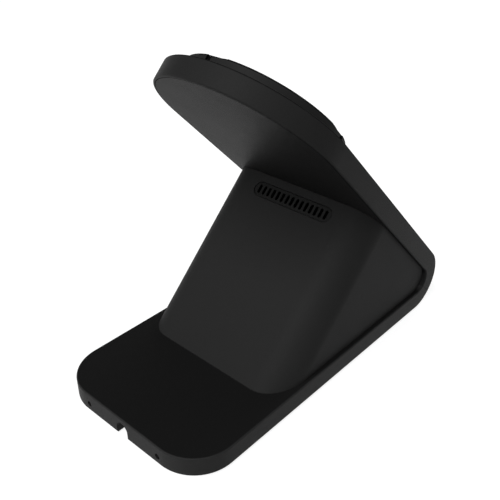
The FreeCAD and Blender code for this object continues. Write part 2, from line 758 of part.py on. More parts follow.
def bottom_cover():
    """Sheet cover under the base, with the plug bay and the cable channel left open."""
    body = new_body("bottom_cover", BASE)
    sketch = flat_sketch(body, 0)
    x = half_width - d.rim_side + d.cover_ledge - d.cover_gap
    front = pocket_front_y - d.cover_ledge + d.cover_gap
    back = behind(d.rim_back - d.cover_ledge + d.cover_gap)
    back_corner = d.corner_radius - d.rim_side + d.cover_ledge - d.cover_gap
    polygon(
        sketch,
        (-x, front, d.front_corner),
        (x, front, d.front_corner),
        (x, back, back_corner),
        (-x, back, back_corner),
    )
    pad(body, sketch, d.cover_thick)
    sketch = flat_sketch(body, 0)
    x = d.notch_width / 2
    rectangle(sketch, -x, x, behind(d.bay_start + d.front_corner), half_depth)
    pocket(body, sketch, d.cover_thick, forwards=True)
    sketch = flat_sketch(body, 0)
    bay_ends = (behind(d.bay_start + d.bay_length), behind(d.bay_start))
    rectangle(sketch, -d.bay_width / 2, d.bay_width / 2, *bay_ends, d.front_corner)
    pocket(body, sketch, d.cover_thick, forwards=True)
    drill(body, 0, foot_places, d.foot_radius + d.cover_gap, d.foot_thick - d.foot_stand, True)
    drill(body, 0, cover_screw_places, d.small_head_radius + d.cover_gap, cover_screw_level, True)
    drill(body, 0, cover_screw_places, d.small_thread_radius + d.screw_gap, d.cover_thick, True)
    return body


def cover_screws():
    """Sunk screws that hold the bottom cover."""
    return screws(
        "cover_screws",
        BASE,
        cover_screw_places,
        cover_screw_level,
        d.small_thread_radius,
        d.small_head_radius,
        d.small_head_high,
        d.small_screw_length,
        False,
    )


def rubber_feet():
    """Four feet, stuck in shallow seats of the bottom cover."""
    body = new_body("rubber_feet", BASE, group=True)
    raise_posts(body, -d.foot_stand, foot_places, d.foot_radius, d.foot_thick)
    fillet(body, d.foot_stand / 2, lambda m, e: near(m.z, -d.foot_stand))
    return body


def inlet_board():
    """Small board under the base's top wall, which carries the power socket."""
    body = new_body("inlet_board", BASE)
    sketch = flat_sketch(body, inlet_under)
    x = d.inlet_width / 2
    rectangle(sketch, -x, x, behind(inlet_back + d.inlet_length), behind(inlet_back))
    pad(body, sketch, d.board_thick)
    small_hole = d.small_thread_radius + d.screw_gap
    drill(body, inlet_under, inlet_screw_places, small_hole, d.board_thick, True)
    return body


def inlet_screws():
    """Screws that hold the inlet board from below."""
    return screws(
        "inlet_screws",
        BASE,
        inlet_screw_places,
        inlet_under,
        d.small_thread_radius,
        d.small_head_radius,
        d.small_head_high,
        d.small_screw_length,
        False,
    )


def power_socket():
    """Pressed metal socket with a contact tongue, whose mouth looks into the plug bay."""
    body = new_body("power_socket", BASE)
    mouth = -behind(inlet_back - d.socket_overhang)
    middle = inlet_under - d.socket_high / 2
    reach = d.socket_width / 2 - d.socket_high / 2
    for inside in (False, True):
        sketch = new_sketch(body, "XZ_Plane", spot(0, 0, mouth, 0))
        radius = d.socket_high / 2 - d.socket_shell if inside else d.socket_high / 2
        stadium(sketch, (-reach, middle), (reach, middle), radius)
        if inside:
            pocket(body, sketch, d.socket_deep, forwards=True)
        else:
            pad(body, sketch, d.socket_length)
    sketch = new_sketch(body, "XZ_Plane", spot(0, 0, mouth + d.tongue_short, 0))
    half = d.tongue_thick / 2
    rectangle(sketch, -d.tongue_width / 2, d.tongue_width / 2, middle - half, middle + half)
    pad(body, sketch, d.socket_deep - d.tongue_short)
    return body


def board_header():
    """Header block that joins the inlet board to the main board through the base's window."""
    body = new_body("board_header", BASE)
    sketch = flat_sketch(body, inlet_top)
    x, y = d.header_width / 2, d.header_length / 2
    rectangle(sketch, -x, x, behind(header_middle) - y, behind(header_middle) + y)
    pad(body, sketch, board_under - inlet_top)
    return body


def main_board():
    """Power board on the base's standoffs, inside the housing."""
    body = new_body("main_board", BASE)
    sketch = flat_sketch(body, board_under)
    x = d.board_width / 2
    rectangle(sketch, -x, x, board_front_y, board_back_y)
    pad(body, sketch, d.board_thick)
    drill(body, board_under, board_screw_places, d.small_thread_radius + d.screw_gap, d.board_thick, True)
    return body


def board_screws():
    """Screws that hold the main board on its standoffs."""
    return screws(
        "board_screws",
        BASE,
        board_screw_places,
        board_top,
        d.small_thread_radius,
        d.small_head_radius,
        d.small_head_high,
        d.small_screw_length,
        True,
    )


def transformer():
    """Ferrite core with two windows, and the winding on its middle leg."""
    body = new_body("transformer", BASE)
    low, high = -d.core_side - d.core_width / 2, -d.core_side + d.core_width / 2
    sketch = flat_sketch(body, board_top)
    rectangle(sketch, low, high, board_middle_y - d.core_length / 2, board_middle_y + d.core_length / 2)
    pad(body, sketch, d.core_high)
    sketch = new_sketch(body, "XZ_Plane", spot(0, 0, -board_middle_y, 0))
    window_low, window_high = board_top + d.core_leg, board_top + d.core_high - d.core_leg
    rectangle(sketch, low + d.core_leg, -d.core_side - d.core_leg / 2, window_low, window_high)
    rectangle(sketch, -d.core_side + d.core_leg / 2, high - d.core_leg, window_low, window_high)
    pocket(body, sketch, d.core_length, both_ways=True)
    reel = d.core_width / 2 - d.core_leg - d.winding_gap
    raise_posts(body, window_low, [(-d.core_side, board_middle_y)], reel, d.core_high - d.core_leg * 2)
    return body


def capacitors():
    """A row of upright capacitors on the main board."""
    body = new_body("capacitors", BASE, group=True)
    first = board_middle_y - d.capacitor_pitch * (d.capacitor_count - 1) / 2
    sketch = flat_sketch(body, board_top)
    circle(sketch, d.capacitor_side, first, d.capacitor_radius)
    can = pad(body, sketch, d.capacitor_high)
    in_line(body, can, "Y_Axis", d.capacitor_pitch, d.capacitor_count)
    fillet(body, d.capacitor_radius / 8, lambda m, e: near(m.z, board_top + d.capacitor_high))
    return body


def ribbon_connector():
    """Low connector block at the main board's front edge."""
    body = new_body("ribbon_connector", BASE)
    sketch = flat_sketch(body, board_top)
    x = d.connector_width / 2
    rectangle(sketch, -x, x, board_front_y, board_front_y + d.connector_length)
    pad(body, sketch, d.connector_high)
    return body


def ribbon_cable():
    """Flat cable from the main board, up behind the leaning plate and through it to the contact board."""
    body = new_body("ribbon_cable", BASE)
    level = board_top + d.connector_high / 2
    outside = -d.strip_thick - d.ribbon_clear
    last_up = rear_up - d.housing_wall - d.window_below - d.ribbon_rise / 2
    first_up = last_up - d.ribbon_rise
    thick = d.ribbon_thick
    sketch = side_sketch(body)
    polygon(
        sketch,
        (board_front_y, level),
        slope_at(outside, level) + (d.ribbon_bend + thick,),
        on_base(first_up, outside) + (d.ribbon_bend,),
        on_base(last_up, contact_board_under) + (d.ribbon_bend,),
        on_base(ZERO, contact_board_under),
        on_base(ZERO, contact_board_under - thick),
        on_base(last_up, contact_board_under - thick) + (d.ribbon_bend,),
        on_base(first_up, outside - thick) + (d.ribbon_bend,),
        slope_at(outside - thick, level + thick) + (d.ribbon_bend,),
        (board_front_y, level + thick),
    )
    pad(body, sketch, d.ribbon_width, both_ways=True)
    return body


def housing_shell():
    """Moulded wedge housing in the fold, open towards the base and the plate."""
    body = new_body("housing_shell", HEAD)
    outer = half_width - d.housing_inset
    inner = outer - d.housing_wall
    inside_up = rear_up - d.housing_wall
    inside_corner = d.housing_corner - d.housing_wall
    foot_out = on_head(behind(d.housing_setback), d.strip_thick)[1]
    fold_up, fold_out = on_head(fold_corner_y, d.strip_thick)
    low = fold_up - d.strip_thick
    sketch = flat_sketch(body, fold_out)
    polygon(
        sketch,
        (-outer, low),
        (-inner, low),
        (-inner, inside_up, inside_corner),
        (inner, inside_up, inside_corner),
        (inner, low),
        (outer, low),
        (outer, rear_up, d.housing_corner),
        (-outer, rear_up, d.housing_corner),
    )
    pad(body, sketch, fold_out - foot_out + d.housing_wall, downwards=True)
    # Trimmed to the base, the fold and the plate.
    back_up, back_out = on_head(half_depth, d.strip_thick)
    far_up = low - d.strip_thick
    sketch = side_sketch(body)
    polygon(
        sketch,
        (back_up, back_out),
        (fold_up, fold_out, fold_radius + d.housing_bend_room),
        (rear_up, fold_out),
        (rear_up, ZERO),
        (far_up, ZERO),
        (far_up, back_out),
    )
    pocket(body, sketch, d.strip_width * 2, both_ways=True)
    # Screw bosses beside the side walls.
    on_base_top = spot(0, *on_head(ZERO, d.strip_thick), -d.lean_angle)
    bosses = new_sketch(body, "XY_Plane", on_base_top)
    for x, y in housing_screw_places:
        circle(bosses, x, y, d.boss_radius)
    pad(body, bosses, d.housing_boss_high)
    holes = new_sketch(body, "XY_Plane", on_base_top)
    for x, y in housing_screw_places:
        circle(holes, x, y, d.thread_radius + d.screw_gap)
    pocket(body, holes, d.housing_screw_length - d.top_wall, forwards=True)
    # The vent's opening in the rear face.
    sketch = new_sketch(body, "XZ_Plane", spot(0, 0, -rear_up, 0))
    stadium(sketch, *vent_ends, d.vent_height / 2)
    pocket(body, sketch, d.housing_wall, forwards=True)
    return body


def housing_screws():
    """Screws from the tray's pocket into the housing's bosses."""
    return screws(
        "housing_screws",
        BASE,
        housing_screw_places,
        ceiling,
        d.thread_radius,
        d.head_radius,
        d.head_high,
        d.housing_screw_length,
        False,
    )


def vent_grille():
    """Moulded grille pushed in from behind the rear wall, with a row of upright slots."""
    body = new_body("vent_grille", HEAD)
    sketch = new_sketch(body, "XZ_Plane", spot(0, 0, d.vent_sunk - rear_up, 0))
    stadium(sketch, *vent_ends, d.vent_height / 2 - d.vent_gap)
    pad(body, sketch, d.housing_wall - d.vent_sunk)
    sketch = new_sketch(body, "XZ_Plane", spot(0, 0, d.housing_wall - rear_up, 0))
    stadium(sketch, *vent_ends, d.vent_height / 2 + d.vent_flange)
    pad(body, sketch, d.vent_flange_thick)
    first = -d.slot_pitch * (d.slot_count - 1) / 2
    rise = d.slot_length / 2 - d.slot_width / 2
    level = vent_ends[0][1]
    sketch = new_sketch(body, "XZ_Plane", spot(0, 0, d.vent_sunk - rear_up, 0))
    stadium(sketch, (first, level - rise), (first, level + rise), d.slot_width / 2)
    slot = pocket(body, sketch, d.housing_wall + d.vent_flange_thick, forwards=True)
    in_line(body, slot, "X_Axis", d.slot_pitch, d.slot_count)
    return body


def dock_ring():
    """Turned ring with a floor on the front of the head, and key notches in its edge."""
    body = new_body("dock_ring", HEAD)
    sketch = new_sketch(body, "XZ_Plane", spot(0, 0, 0, 0))
    seat = d.face_radius + d.face_gap
    hollow = d.face_radius - d.face_ledge
    polygon(
        sketch,
        (ZERO, ZERO),
        (d.dock_radius, ZERO),
        (d.dock_radius, d.dock_high, d.dock_round),
        (seat, d.dock_high),
        (seat, face_under),
        (hollow, face_under),
        (hollow, d.dock_floor),
        (ZERO, d.dock_floor),
    )
    revolve(body, sketch)
    drill(body, d.dock_floor, dock_screw_places, d.thread_radius + d.screw_gap, d.dock_floor, False)
    sketch = flat_sketch(body, d.dock_floor)
    stadium(sketch, (-block_reach, ZERO), (block_reach, ZERO), d.block_radius + d.block_gap)
    pocket(body, sketch, d.dock_floor)
    sketch = flat_sketch(body, d.dock_floor)
    circle(sketch, d.magnet_circle, ZERO, d.magnet_radius + d.magnet_gap)
    seat = pocket(body, sketch, d.magnet_seat)
    around(body, seat, d.magnet_count)
    # Key notches of both hands: an entry down the ring's side, and a ramp that runs out along its top.
    for plane, hand in (("XZ_Plane", 1), ("YZ_Plane", -1)):
        sketch = new_sketch(body, plane, spot(0, 0, d.key_inward - d.dock_radius, 0))
        polygon(
            sketch,
            (d.key_to * hand, d.key_low),
            (d.key_to * hand, d.dock_high),
            (-d.key_ramp * hand, d.dock_high),
            (-d.key_ramp * hand, d.dock_high - d.key_end),
            (d.key_from * hand, d.dock_high - d.key_drop),
            (d.key_from * hand, d.key_low),
        )
        key = pocket(body, sketch, d.key_inward * 2)
        around(body, key, d.key_count)
    return body


def dock_screws():
    """Screws through the dock's floor into the head, hidden by the face disc."""
    return screws(
        "dock_screws",
        HEAD,
        dock_screw_places,
        d.dock_floor,
        d.thread_radius,
        d.head_radius,
        d.dock_head_high,
        d.dock_screw_length,
        True,
    )


def dock_magnets():
    """Ring of magnets between the dock's floor and its face disc."""
    body = new_body("dock_magnets", HEAD, group=True)
    level = d.dock_floor - d.magnet_seat
    sketch = flat_sketch(body, level)
    circle(sketch, d.magnet_circle, ZERO, d.magnet_radius)
    magnet = pad(body, sketch, face_under - level)
    around(body, magnet, d.magnet_count)
    return body


def dock_face():
    """Face disc that closes the dock, with the opening for the contact block."""
    body = new_body("dock_face", HEAD)
    sketch = flat_sketch(body, face_under)
    circle(sketch, ZERO, ZERO, d.face_radius)
    stadium(sketch, (-block_reach, ZERO), (block_reach, ZERO), d.block_radius + d.block_gap)
    pad(body, sketch, d.face_thick)
    return body


def contact_block():
    """Moulded block that guides the sprung contacts, flanged behind the dock's floor."""
    body = new_body("contact_block", HEAD)
    ends = ((-block_reach, ZERO), (block_reach, ZERO))
    sketch = flat_sketch(body, -d.contact_board_deep)
    stadium(sketch, *ends, d.block_radius)
    pad(body, sketch, d.contact_board_deep + d.dock_high)
    sketch = flat_sketch(body, 0)
    stadium(sketch, *ends, d.block_radius + d.block_flange)
    pad(body, sketch, d.block_flange_thick, downwards=True)
    places = [(x, ZERO) for x in contact_places]
    barrel = d.contact_board_deep + collar_stop
    drill(body, -d.contact_board_deep, places, d.collar_radius + d.contact_gap, barrel, True)
    drill(body, d.dock_high, places, d.tip_radius + d.contact_gap, d.collar_under, False)
    return body


def contact_board():
    """Small board behind the contact block, on two posts of the head's pocket."""
    body = new_body("contact_board", HEAD)
    sketch = flat_sketch(body, contact_board_under)
    x, y = d.contact_board_width / 2, d.contact_board_length / 2
    rectangle(sketch, -x, x, -y, y)
    pad(body, sketch, d.contact_board_thick)
    small_hole = d.small_thread_radius + d.screw_gap
    drill(body, contact_board_under, post_places, small_hole, d.contact_board_thick, True)
    return body


def contact_screws():
    """Screws that hold the contact board on its posts."""
    return screws(
        "contact_screws",
        HEAD,
        post_places,
        -d.contact_board_deep,
        d.small_thread_radius,
        d.small_head_radius,
        d.small_head_high,
        d.small_screw_length,
        True,
    )


def contact_pin(number, x):
    """Sprung contact: a round tip, and a collar that its bore keeps in."""
    body = new_body(f"contact_pin_{number}", spot(x, head_y, d.head_height + d.foot_stand, d.lean_angle))
    sketch = new_sketch(body, "XZ_Plane", spot(0, 0, 0, 0))
    top = d.dock_high + d.tip_proud
    polygon(
        sketch,
        (ZERO, collar_base),
        (d.collar_radius, collar_base),
        (d.collar_radius, collar_top),
        (d.tip_radius, collar_top),
        (d.tip_radius, top, d.tip_round),
        (ZERO, top),
    )
    revolve(body, sketch)
    return body


def contact_spring(number, x):
    """Coil spring between the contact board and a contact's collar."""
    body = new_body(f"contact_spring_{number}", spot(x, head_y, d.head_height + d.foot_stand, d.lean_angle))
    sketch = new_sketch(body, "XZ_Plane", spot(0, 0, 0, 0))
    circle(sketch, d.coil_radius, d.coil_wire / 2 - d.contact_board_deep, d.coil_wire / 2)
    coil = body.newObject("PartDesign::AdditiveHelix", f"{body.Name}_coil")
    coil.Profile = sketch
    coil.ReferenceAxis = (sketch, ["V_Axis"])
    coil.Mode = "height-turns-angle"
    coil.setExpression("Height", (collar_base + d.contact_board_deep - d.coil_wire).formula)
    coil.setExpression("Turns", d.coil_turns.formula)
    doc.recompute()
    return body


parts = [
    base_tray(),
    back_plate(),
    plate_screws(),
    ballast_bars(),
    inlet_board(),
    inlet_screws(),
    power_socket(),
    board_header(),
    bottom_cover(),
    cover_screws(),
    rubber_feet(),
    main_board(),
    board_screws(),
    transformer(),
    capacitors(),
    ribbon_connector(),
    ribbon_cable(),
    housing_shell(),
    housing_screws(),
    vent_grille(),
    contact_board(),
    contact_screws(),
    contact_block(),
    dock_ring(),
    dock_screws(),
    dock_magnets(),
    dock_face(),
]
for number, x in enumerate(contact_places, 1):
    parts.append(contact_spring(number, x))
    parts.append(contact_pin(number, x))

doc.recompute()
for item in doc.Objects:
    if {"Invalid", "Error"} & set(item.State):
        raise ValueError(f"{item.Name} is {item.State}")
for body in parts:
    if body.Shape.isNull() or not body.Shape.isValid():
        raise ValueError(f"{body.Label} has no valid shape")

os.makedirs("parts", exist_ok=True)
for body in parts:
    body.Shape.exportStep(f"parts/{body.Label}.step")
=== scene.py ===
import math
import bmesh
import bpy
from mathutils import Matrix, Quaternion, Vector


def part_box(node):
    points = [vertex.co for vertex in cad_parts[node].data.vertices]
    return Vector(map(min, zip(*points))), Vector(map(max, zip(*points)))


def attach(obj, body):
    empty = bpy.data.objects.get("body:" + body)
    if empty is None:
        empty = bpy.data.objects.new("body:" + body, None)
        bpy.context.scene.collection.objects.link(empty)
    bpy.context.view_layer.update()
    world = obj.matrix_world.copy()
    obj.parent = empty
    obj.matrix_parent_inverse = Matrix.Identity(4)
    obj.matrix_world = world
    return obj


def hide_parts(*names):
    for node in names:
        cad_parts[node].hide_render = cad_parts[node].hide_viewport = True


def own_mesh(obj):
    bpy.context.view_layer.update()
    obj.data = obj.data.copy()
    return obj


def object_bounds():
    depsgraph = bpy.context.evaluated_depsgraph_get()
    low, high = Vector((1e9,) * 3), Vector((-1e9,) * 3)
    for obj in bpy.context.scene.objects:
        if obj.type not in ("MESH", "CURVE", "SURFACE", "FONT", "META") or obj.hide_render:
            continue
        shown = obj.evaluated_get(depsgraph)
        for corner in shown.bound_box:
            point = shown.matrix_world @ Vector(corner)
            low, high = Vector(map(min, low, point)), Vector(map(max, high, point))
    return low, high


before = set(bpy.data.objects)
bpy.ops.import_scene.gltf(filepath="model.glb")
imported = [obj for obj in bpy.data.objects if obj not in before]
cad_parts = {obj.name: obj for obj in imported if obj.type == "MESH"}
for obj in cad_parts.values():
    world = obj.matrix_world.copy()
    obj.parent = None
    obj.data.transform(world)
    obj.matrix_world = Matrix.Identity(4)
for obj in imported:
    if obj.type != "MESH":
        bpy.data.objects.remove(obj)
cad_low, cad_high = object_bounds()

# Base tray: the lying half of the folded strip, cast in aluminium with a pocket underneath.
# It is shot blasted and powder coated black, with a fine sandy grain and hardly any shine.
# Its top, inside the fold, is painted darker than its walls, as painted shade.


def new_group(name, inputs, outputs):
    """A shader node group with named sockets for numbers, and the sockets of its two end nodes."""
    tree = bpy.data.node_groups.new(name, "ShaderNodeTree")
    for label, value in inputs.items():
        socket = tree.interface.new_socket(label, in_out="INPUT", socket_type="NodeSocketFloat")
        socket.default_value = value
    for label in outputs:
        tree.interface.new_socket(label, in_out="OUTPUT", socket_type="NodeSocketFloat")
    return tree, tree.nodes.new("NodeGroupInput").outputs, tree.nodes.new("NodeGroupOutput").inputs


def feed(tree, socket, value):
    """Set a socket, or link it where the value comes from another node."""
    if isinstance(value, bpy.types.NodeSocket):
        tree.links.new(value, socket)
    else:
        socket.default_value = value


def add_node(tree, kind, sockets, **settings):
    """A node with its settings, and its sockets set or linked by name or number."""
    node = tree.nodes.new(kind)
    for label, value in settings.items():
        setattr(node, label, value)
    for label, value in sockets.items():
        feed(tree, node.inputs[label], value)
    return node


def place_group(tree, group, **sockets):
    return add_node(tree, "ShaderNodeGroup", sockets, node_tree=group).outputs


def piece_place(tree, stretch):
    """Places on the piece, in lengths of this size along X, Y and Z."""
    places = add_node(tree, "ShaderNodeTexCoord", {}).outputs["Object"]
    sizes = add_node(tree, "ShaderNodeCombineXYZ", dict(zip("XYZ", stretch))).outputs["Vector"]
    return add_node(tree, "ShaderNodeVectorMath", {0: places, 1: sizes}, operation="DIVIDE").outputs["Vector"]


def noise(tree, stretch, detail):
    spots = {"Vector": piece_place(tree, stretch), "Scale": 1, "Detail": detail, "Roughness": 0.6}
    return add_node(tree, "ShaderNodeTexNoise", spots).outputs["Fac"]


def ramp(tree, value, start, full):
    """A share that is 0 where the value is at its start, and 1 where it is full."""
    limits = {"Value": value, "From Min": start, "From Max": full}
    return add_node(tree, "ShaderNodeMapRange", limits).outputs["Result"]


def between(tree, share, low, high):
    """A number between two others, by a share that changes over the surface."""
    limits = {"Value": share, "To Min": low, "To Max": high}
    return add_node(tree, "ShaderNodeMapRange", limits).outputs["Result"]


def along(tree, vector, way):
    """How far a vector goes one way."""
    product = add_node(tree, "ShaderNodeVectorMath", {0: vector, 1: way}, operation="DOT_PRODUCT")
    return product.outputs["Value"]


def blend_colours(tree, share, low, high):
    """A colour between two others, by a share that changes over the surface. One number is a grey."""
    mix = add_node(tree, "ShaderNodeMix", {}, data_type="RGBA")
    for label, value in (("Factor_Float", share), ("A_Color", low), ("B_Color", high)):
        if isinstance(value, float):
            value = (value,) * 3
        if isinstance(value, tuple):
            value = (*value, 1)
        feed(tree, next(socket for socket in mix.inputs if socket.identifier == label), value)
    return next(socket for socket in mix.outputs if socket.identifier == "Result_Color")


# Fine grain of a coat or moulding, with broad patches where it is a little smoother.
grain_sizes = {"Grain": 0.0004, "Patch": 0.03}
fine_grain, grain_in, grain_out = new_group("fine_grain", grain_sizes, ["Speckle", "Patches"])
for size, result, detail in (("Grain", "Speckle", 2), ("Patch", "Patches", 4)):
    feed(fine_grain, grain_out[result], noise(fine_grain, [grain_in[size]] * 3, detail))

# Sharp edges, which some coats have lighter where they wear thin and others darker as painted shade; and
# corners and hollows, which are painted darker as painted shade.
flat_turn, sharp_turn = 0.985, 0.75
corner_reach = 0.003
corner_light, open_light = 0.35, 0.8
edges, edges_in, edges_out = new_group("edges", {"Reach": 0.0006}, ["Edge", "Open"])
rounded = add_node(edges, "ShaderNodeBevel", {"Radius": edges_in["Reach"]}, samples=4).outputs["Normal"]
surface = add_node(edges, "ShaderNodeNewGeometry", {}).outputs["Normal"]
feed(edges, edges_out["Edge"], ramp(edges, along(edges, rounded, surface), flat_turn, sharp_turn))
corner_shade = {"Distance": corner_reach}
corner_shade = add_node(edges, "ShaderNodeAmbientOcclusion", corner_shade, samples=6, only_local=True)
feed(edges, edges_out["Open"], ramp(edges, corner_shade.outputs["AO"], corner_light, open_light))


def new_material(name):
    material = bpy.data.materials.new(name)
    material.use_nodes = True
    return material, material.node_tree, material.node_tree.nodes["Principled BSDF"]


def emboss(tree, shader, height, depth):
    """Raise the surface by a height from 0 to 1, times a depth in metres."""
    bump = add_node(tree, "ShaderNodeBump", {"Strength": 1, "Distance": depth, "Height": height})
    feed(tree, shader.inputs["Normal"], bump.outputs["Normal"])


def matte_black(name, dark, light, edge, grain, depth, rough, shine, shaded_side=None, shaded_share=1):
    """A black coat or moulding with fine grain, uneven gloss, dull edges in their own colour, and corners
    painted darker as painted shade.
    Faces that look towards the shaded side are painted darker as painted shade, at this share of the coat's
    colour."""
    shaded_start, shaded_full = 0.85, 0.99
    corner_shade_share = 0.25
    edge_rough = 0.8
    material, tree, shader = new_material(name)
    texture = place_group(tree, fine_grain, Grain=grain, Patch=0.03)
    wear_and_shade = place_group(tree, edges, Reach=0.0006)
    body = blend_colours(tree, texture["Speckle"], dark, light)
    # Edges take their own colour: lighter as wear on some coats, darker as painted shade on the base, plate
    # and housing.
    body = blend_colours(tree, wear_and_shade["Edge"], body, edge)
    # Faces that look towards the shaded side are painted darker, as painted shade.
    if shaded_side:
        normal = add_node(tree, "ShaderNodeTexCoord", {}).outputs["Normal"]
        shaded_faces = ramp(tree, along(tree, normal, shaded_side), shaded_start, shaded_full)
        painted_shade_colour = blend_colours(tree, texture["Speckle"], dark * shaded_share, light * shaded_share)
        body = blend_colours(tree, shaded_faces, body, painted_shade_colour)
    # Corners and hollows are painted darker, as painted shade.
    feed(tree, shader.inputs["Base Color"], blend_colours(tree, wear_and_shade["Open"], dark * corner_shade_share, body))
    gloss = between(tree, texture["Patches"], *rough)
    feed(tree, shader.inputs["Roughness"], between(tree, wear_and_shade["Edge"], gloss, edge_rough))
    shader.inputs["Specular IOR Level"].default_value = shine
    emboss(tree, shader, texture["Speckle"], depth)
    return material


def dress(material, *nodes):
    for name in nodes:
        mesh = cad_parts[name].data
        mesh.materials.clear()
        mesh.materials.append(material)


# The coat's edges are painted darker than its face, as painted shade along them.
powder = {"edge": 0.009, "grain": 0.0005, "depth": 0.00013, "rough": (0.46, 0.56), "shine": 0.05}
tray_top = Vector((0, 0, 1))
tray_coat = matte_black("tray_coat", 0.031, 0.038, **powder, shaded_side=tray_top, shaded_share=0.35)
dress(tray_coat, "base_tray")

# Threads of the two rear holes: cut with a tap in the casting's back wall, for a clip or a cable tie.
# The ridges are bare aluminium, blackened in the bath that the casting goes through before its coat.
tap_half_span = 0.02625
tap_height = 0.0057
tap_radius = 0.0015
tap_ridge = 0.00022
tap_bite = 0.00002
tap_pitch = 0.0005
tap_root = 0.44 * tap_pitch
tap_start = 1.6 * tap_pitch
tap_turns = 10
tap_steps = 20
sharp_angle = math.radians(35)


def sweep(shape, sections):
    """Skin a row of closed sections of equal count, and close both ends."""
    rings = [[shape.verts.new(point) for point in section] for section in sections]
    for one, other in zip(rings, rings[1:]):
        for index in range(len(one)):
            shape.faces.new((one[index - 1], one[index], other[index], other[index - 1]))
    shape.faces.new(rings[0])
    shape.faces.new(rings[-1])


def add_piece(name, shape, material, slot, *nodes):
    """Make an object of a built shape, smooth but for its sharp edges, fixed to the station."""
    bmesh.ops.recalc_face_normals(shape, faces=shape.faces)
    mesh = bpy.data.meshes.new(name)
    shape.to_mesh(mesh)
    shape.free()
    mesh.shade_smooth()
    mesh.set_sharp_from_angle(angle=sharp_angle)
    mesh.materials.append(material)
    piece = bpy.data.objects.new(name, mesh)
    bpy.context.scene.collection.objects.link(piece)
    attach(piece, "station")
    if nodes:
        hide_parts(*nodes)
    return piece


threads = bmesh.new()
for side in (-1, 1):
    ridge = []
    for step in range(tap_turns * tap_steps + 1):
        angle = 2 * math.pi * step / tap_steps
        inward = tap_start + tap_pitch * step / tap_steps
        axis = Vector((side * tap_half_span, cad_high.y - inward, tap_height))
        outward = Vector((math.cos(angle), 0, math.sin(angle)))
        foot = axis + outward * (tap_radius + tap_bite)
        half_root = Vector((0, tap_root, 0))
        ridge.append([foot + half_root, axis + outward * (tap_radius - tap_ridge), foot - half_root])
    sweep(threads, ridge)
tapped_metal = matte_black(
    "tapped_metal", 0.014, 0.022, edge=0.03, grain=0.0001, depth=0.000004, rough=(0.35, 0.5), shine=0.2
)
add_piece("rear_threads", threads, tapped_metal, "strip")

# Back plate: the leaning half of the strip with its round head, cast and coated like the base.
# A flange at its foot lies on the base under the housing, and is screwed down from below.
# Its rounded front edge is made rough and painted dark, as painted shade, and a fine dark line under the
# head's edge is painted shade too.
# Its underside is painted darker as painted shade, like the base's top.
plate_under = Vector((0, 1, -1)).normalized()
head_out = Vector((0, -1, 1)).normalized()
head_up = Vector((0, 1, 1)).normalized()
dock_height = 0.0063
ring_low, ring_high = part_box("dock_ring")
head_middle = (Vector(ring_low) + Vector(ring_high)) / 2 - head_out * dock_height / 2
line_outside = cad_high.x - 0.0012
line_inside = cad_high.x - 0.0017
line_fade = 0.0001
bend_top = 0.03
bend_fade = 0.015
dull_rough = 0.95


def reckon(tree, operation, one, other):
    """A number from two others."""
    return add_node(tree, "ShaderNodeMath", {0: one, 1: other}, operation=operation).outputs["Value"]


plate_coat = matte_black("plate_coat", 0.022, 0.027, **powder, shaded_side=plate_under, shaded_share=0.55)
plate_tree = plate_coat.node_tree
plate_shader = plate_tree.nodes["Principled BSDF"]
plate_place = add_node(plate_tree, "ShaderNodeTexCoord", {}).outputs
under_share = along(plate_tree, plate_place["Normal"], plate_under)
plate_height = along(plate_tree, plate_place["Object"], Vector((0, 0, 1)))
above_bend = ramp(plate_tree, plate_height, bend_top, bend_top + bend_fade)
head_arm = {0: plate_place["Object"], 1: head_middle}
head_arm = add_node(plate_tree, "ShaderNodeVectorMath", head_arm, operation="SUBTRACT").outputs["Vector"]
head_rise = reckon(plate_tree, "MAXIMUM", along(plate_tree, head_arm, head_up), 0)
head_reach = {"X": along(plate_tree, head_arm, Vector((1, 0, 0))), "Y": head_rise}
head_reach = {0: add_node(plate_tree, "ShaderNodeCombineXYZ", head_reach).outputs["Vector"]}
head_reach = add_node(plate_tree, "ShaderNodeVectorMath", head_reach, operation="LENGTH").outputs["Value"]
front_edge_shade = ((under_share, -0.15, -0.35), (under_share, -0.98, -0.9))
underside_shade_line = (
    (under_share, 0.9, 0.95),
    (head_reach, line_inside, line_inside + line_fade),
    (head_reach, line_outside, line_outside - line_fade),
)
# Both bands are painted dark and made rough: the front edge's band and the line under the head's edge are
# painted shade.
for black, limits in ((0.009, front_edge_shade), (0.002, underside_shade_line)):
    band = above_bend
    for share, start, full in limits:
        band = between(plate_tree, ramp(plate_tree, share, start, full), 0, band)
    for label, blend, dull in (("Base Color", blend_colours, black), ("Roughness", between, dull_rough)):
        socket = plate_shader.inputs[label]
        feed(plate_tree, socket, blend(plate_tree, band, socket.links[0].from_socket, dull))
dress(plate_coat, "back_plate")

# Plate, board, housing, contact and dock screws: pan heads of blackened steel with rolled threads.
# All of them sit inside, driven from below the base or from under a cover.
mark_sizes = {f"Along {axis}": 0.001 for axis in "XYZ"}
metal_marks, marks_in, marks_out = new_group("metal_marks", mark_sizes, ["Marks"])
feed(metal_marks, marks_out["Marks"], noise(metal_marks, [marks_in[label] for label in mark_sizes], 3))


def bare_metal(name, dark, light, marks, depth, rough):
    """Metal with the marks of drawing, rolling or turning, longer one way than the others."""
    material, tree, shader = new_material(name)
    worked = place_group(tree, metal_marks, **dict(zip(mark_sizes, marks)))["Marks"]
    feed(tree, shader.inputs["Base Color"], blend_colours(tree, worked, dark, light))
    feed(tree, shader.inputs["Roughness"], between(tree, worked, *rough))
    shader.inputs["Metallic"].default_value = 1
    emboss(tree, shader, worked, depth)
    return material


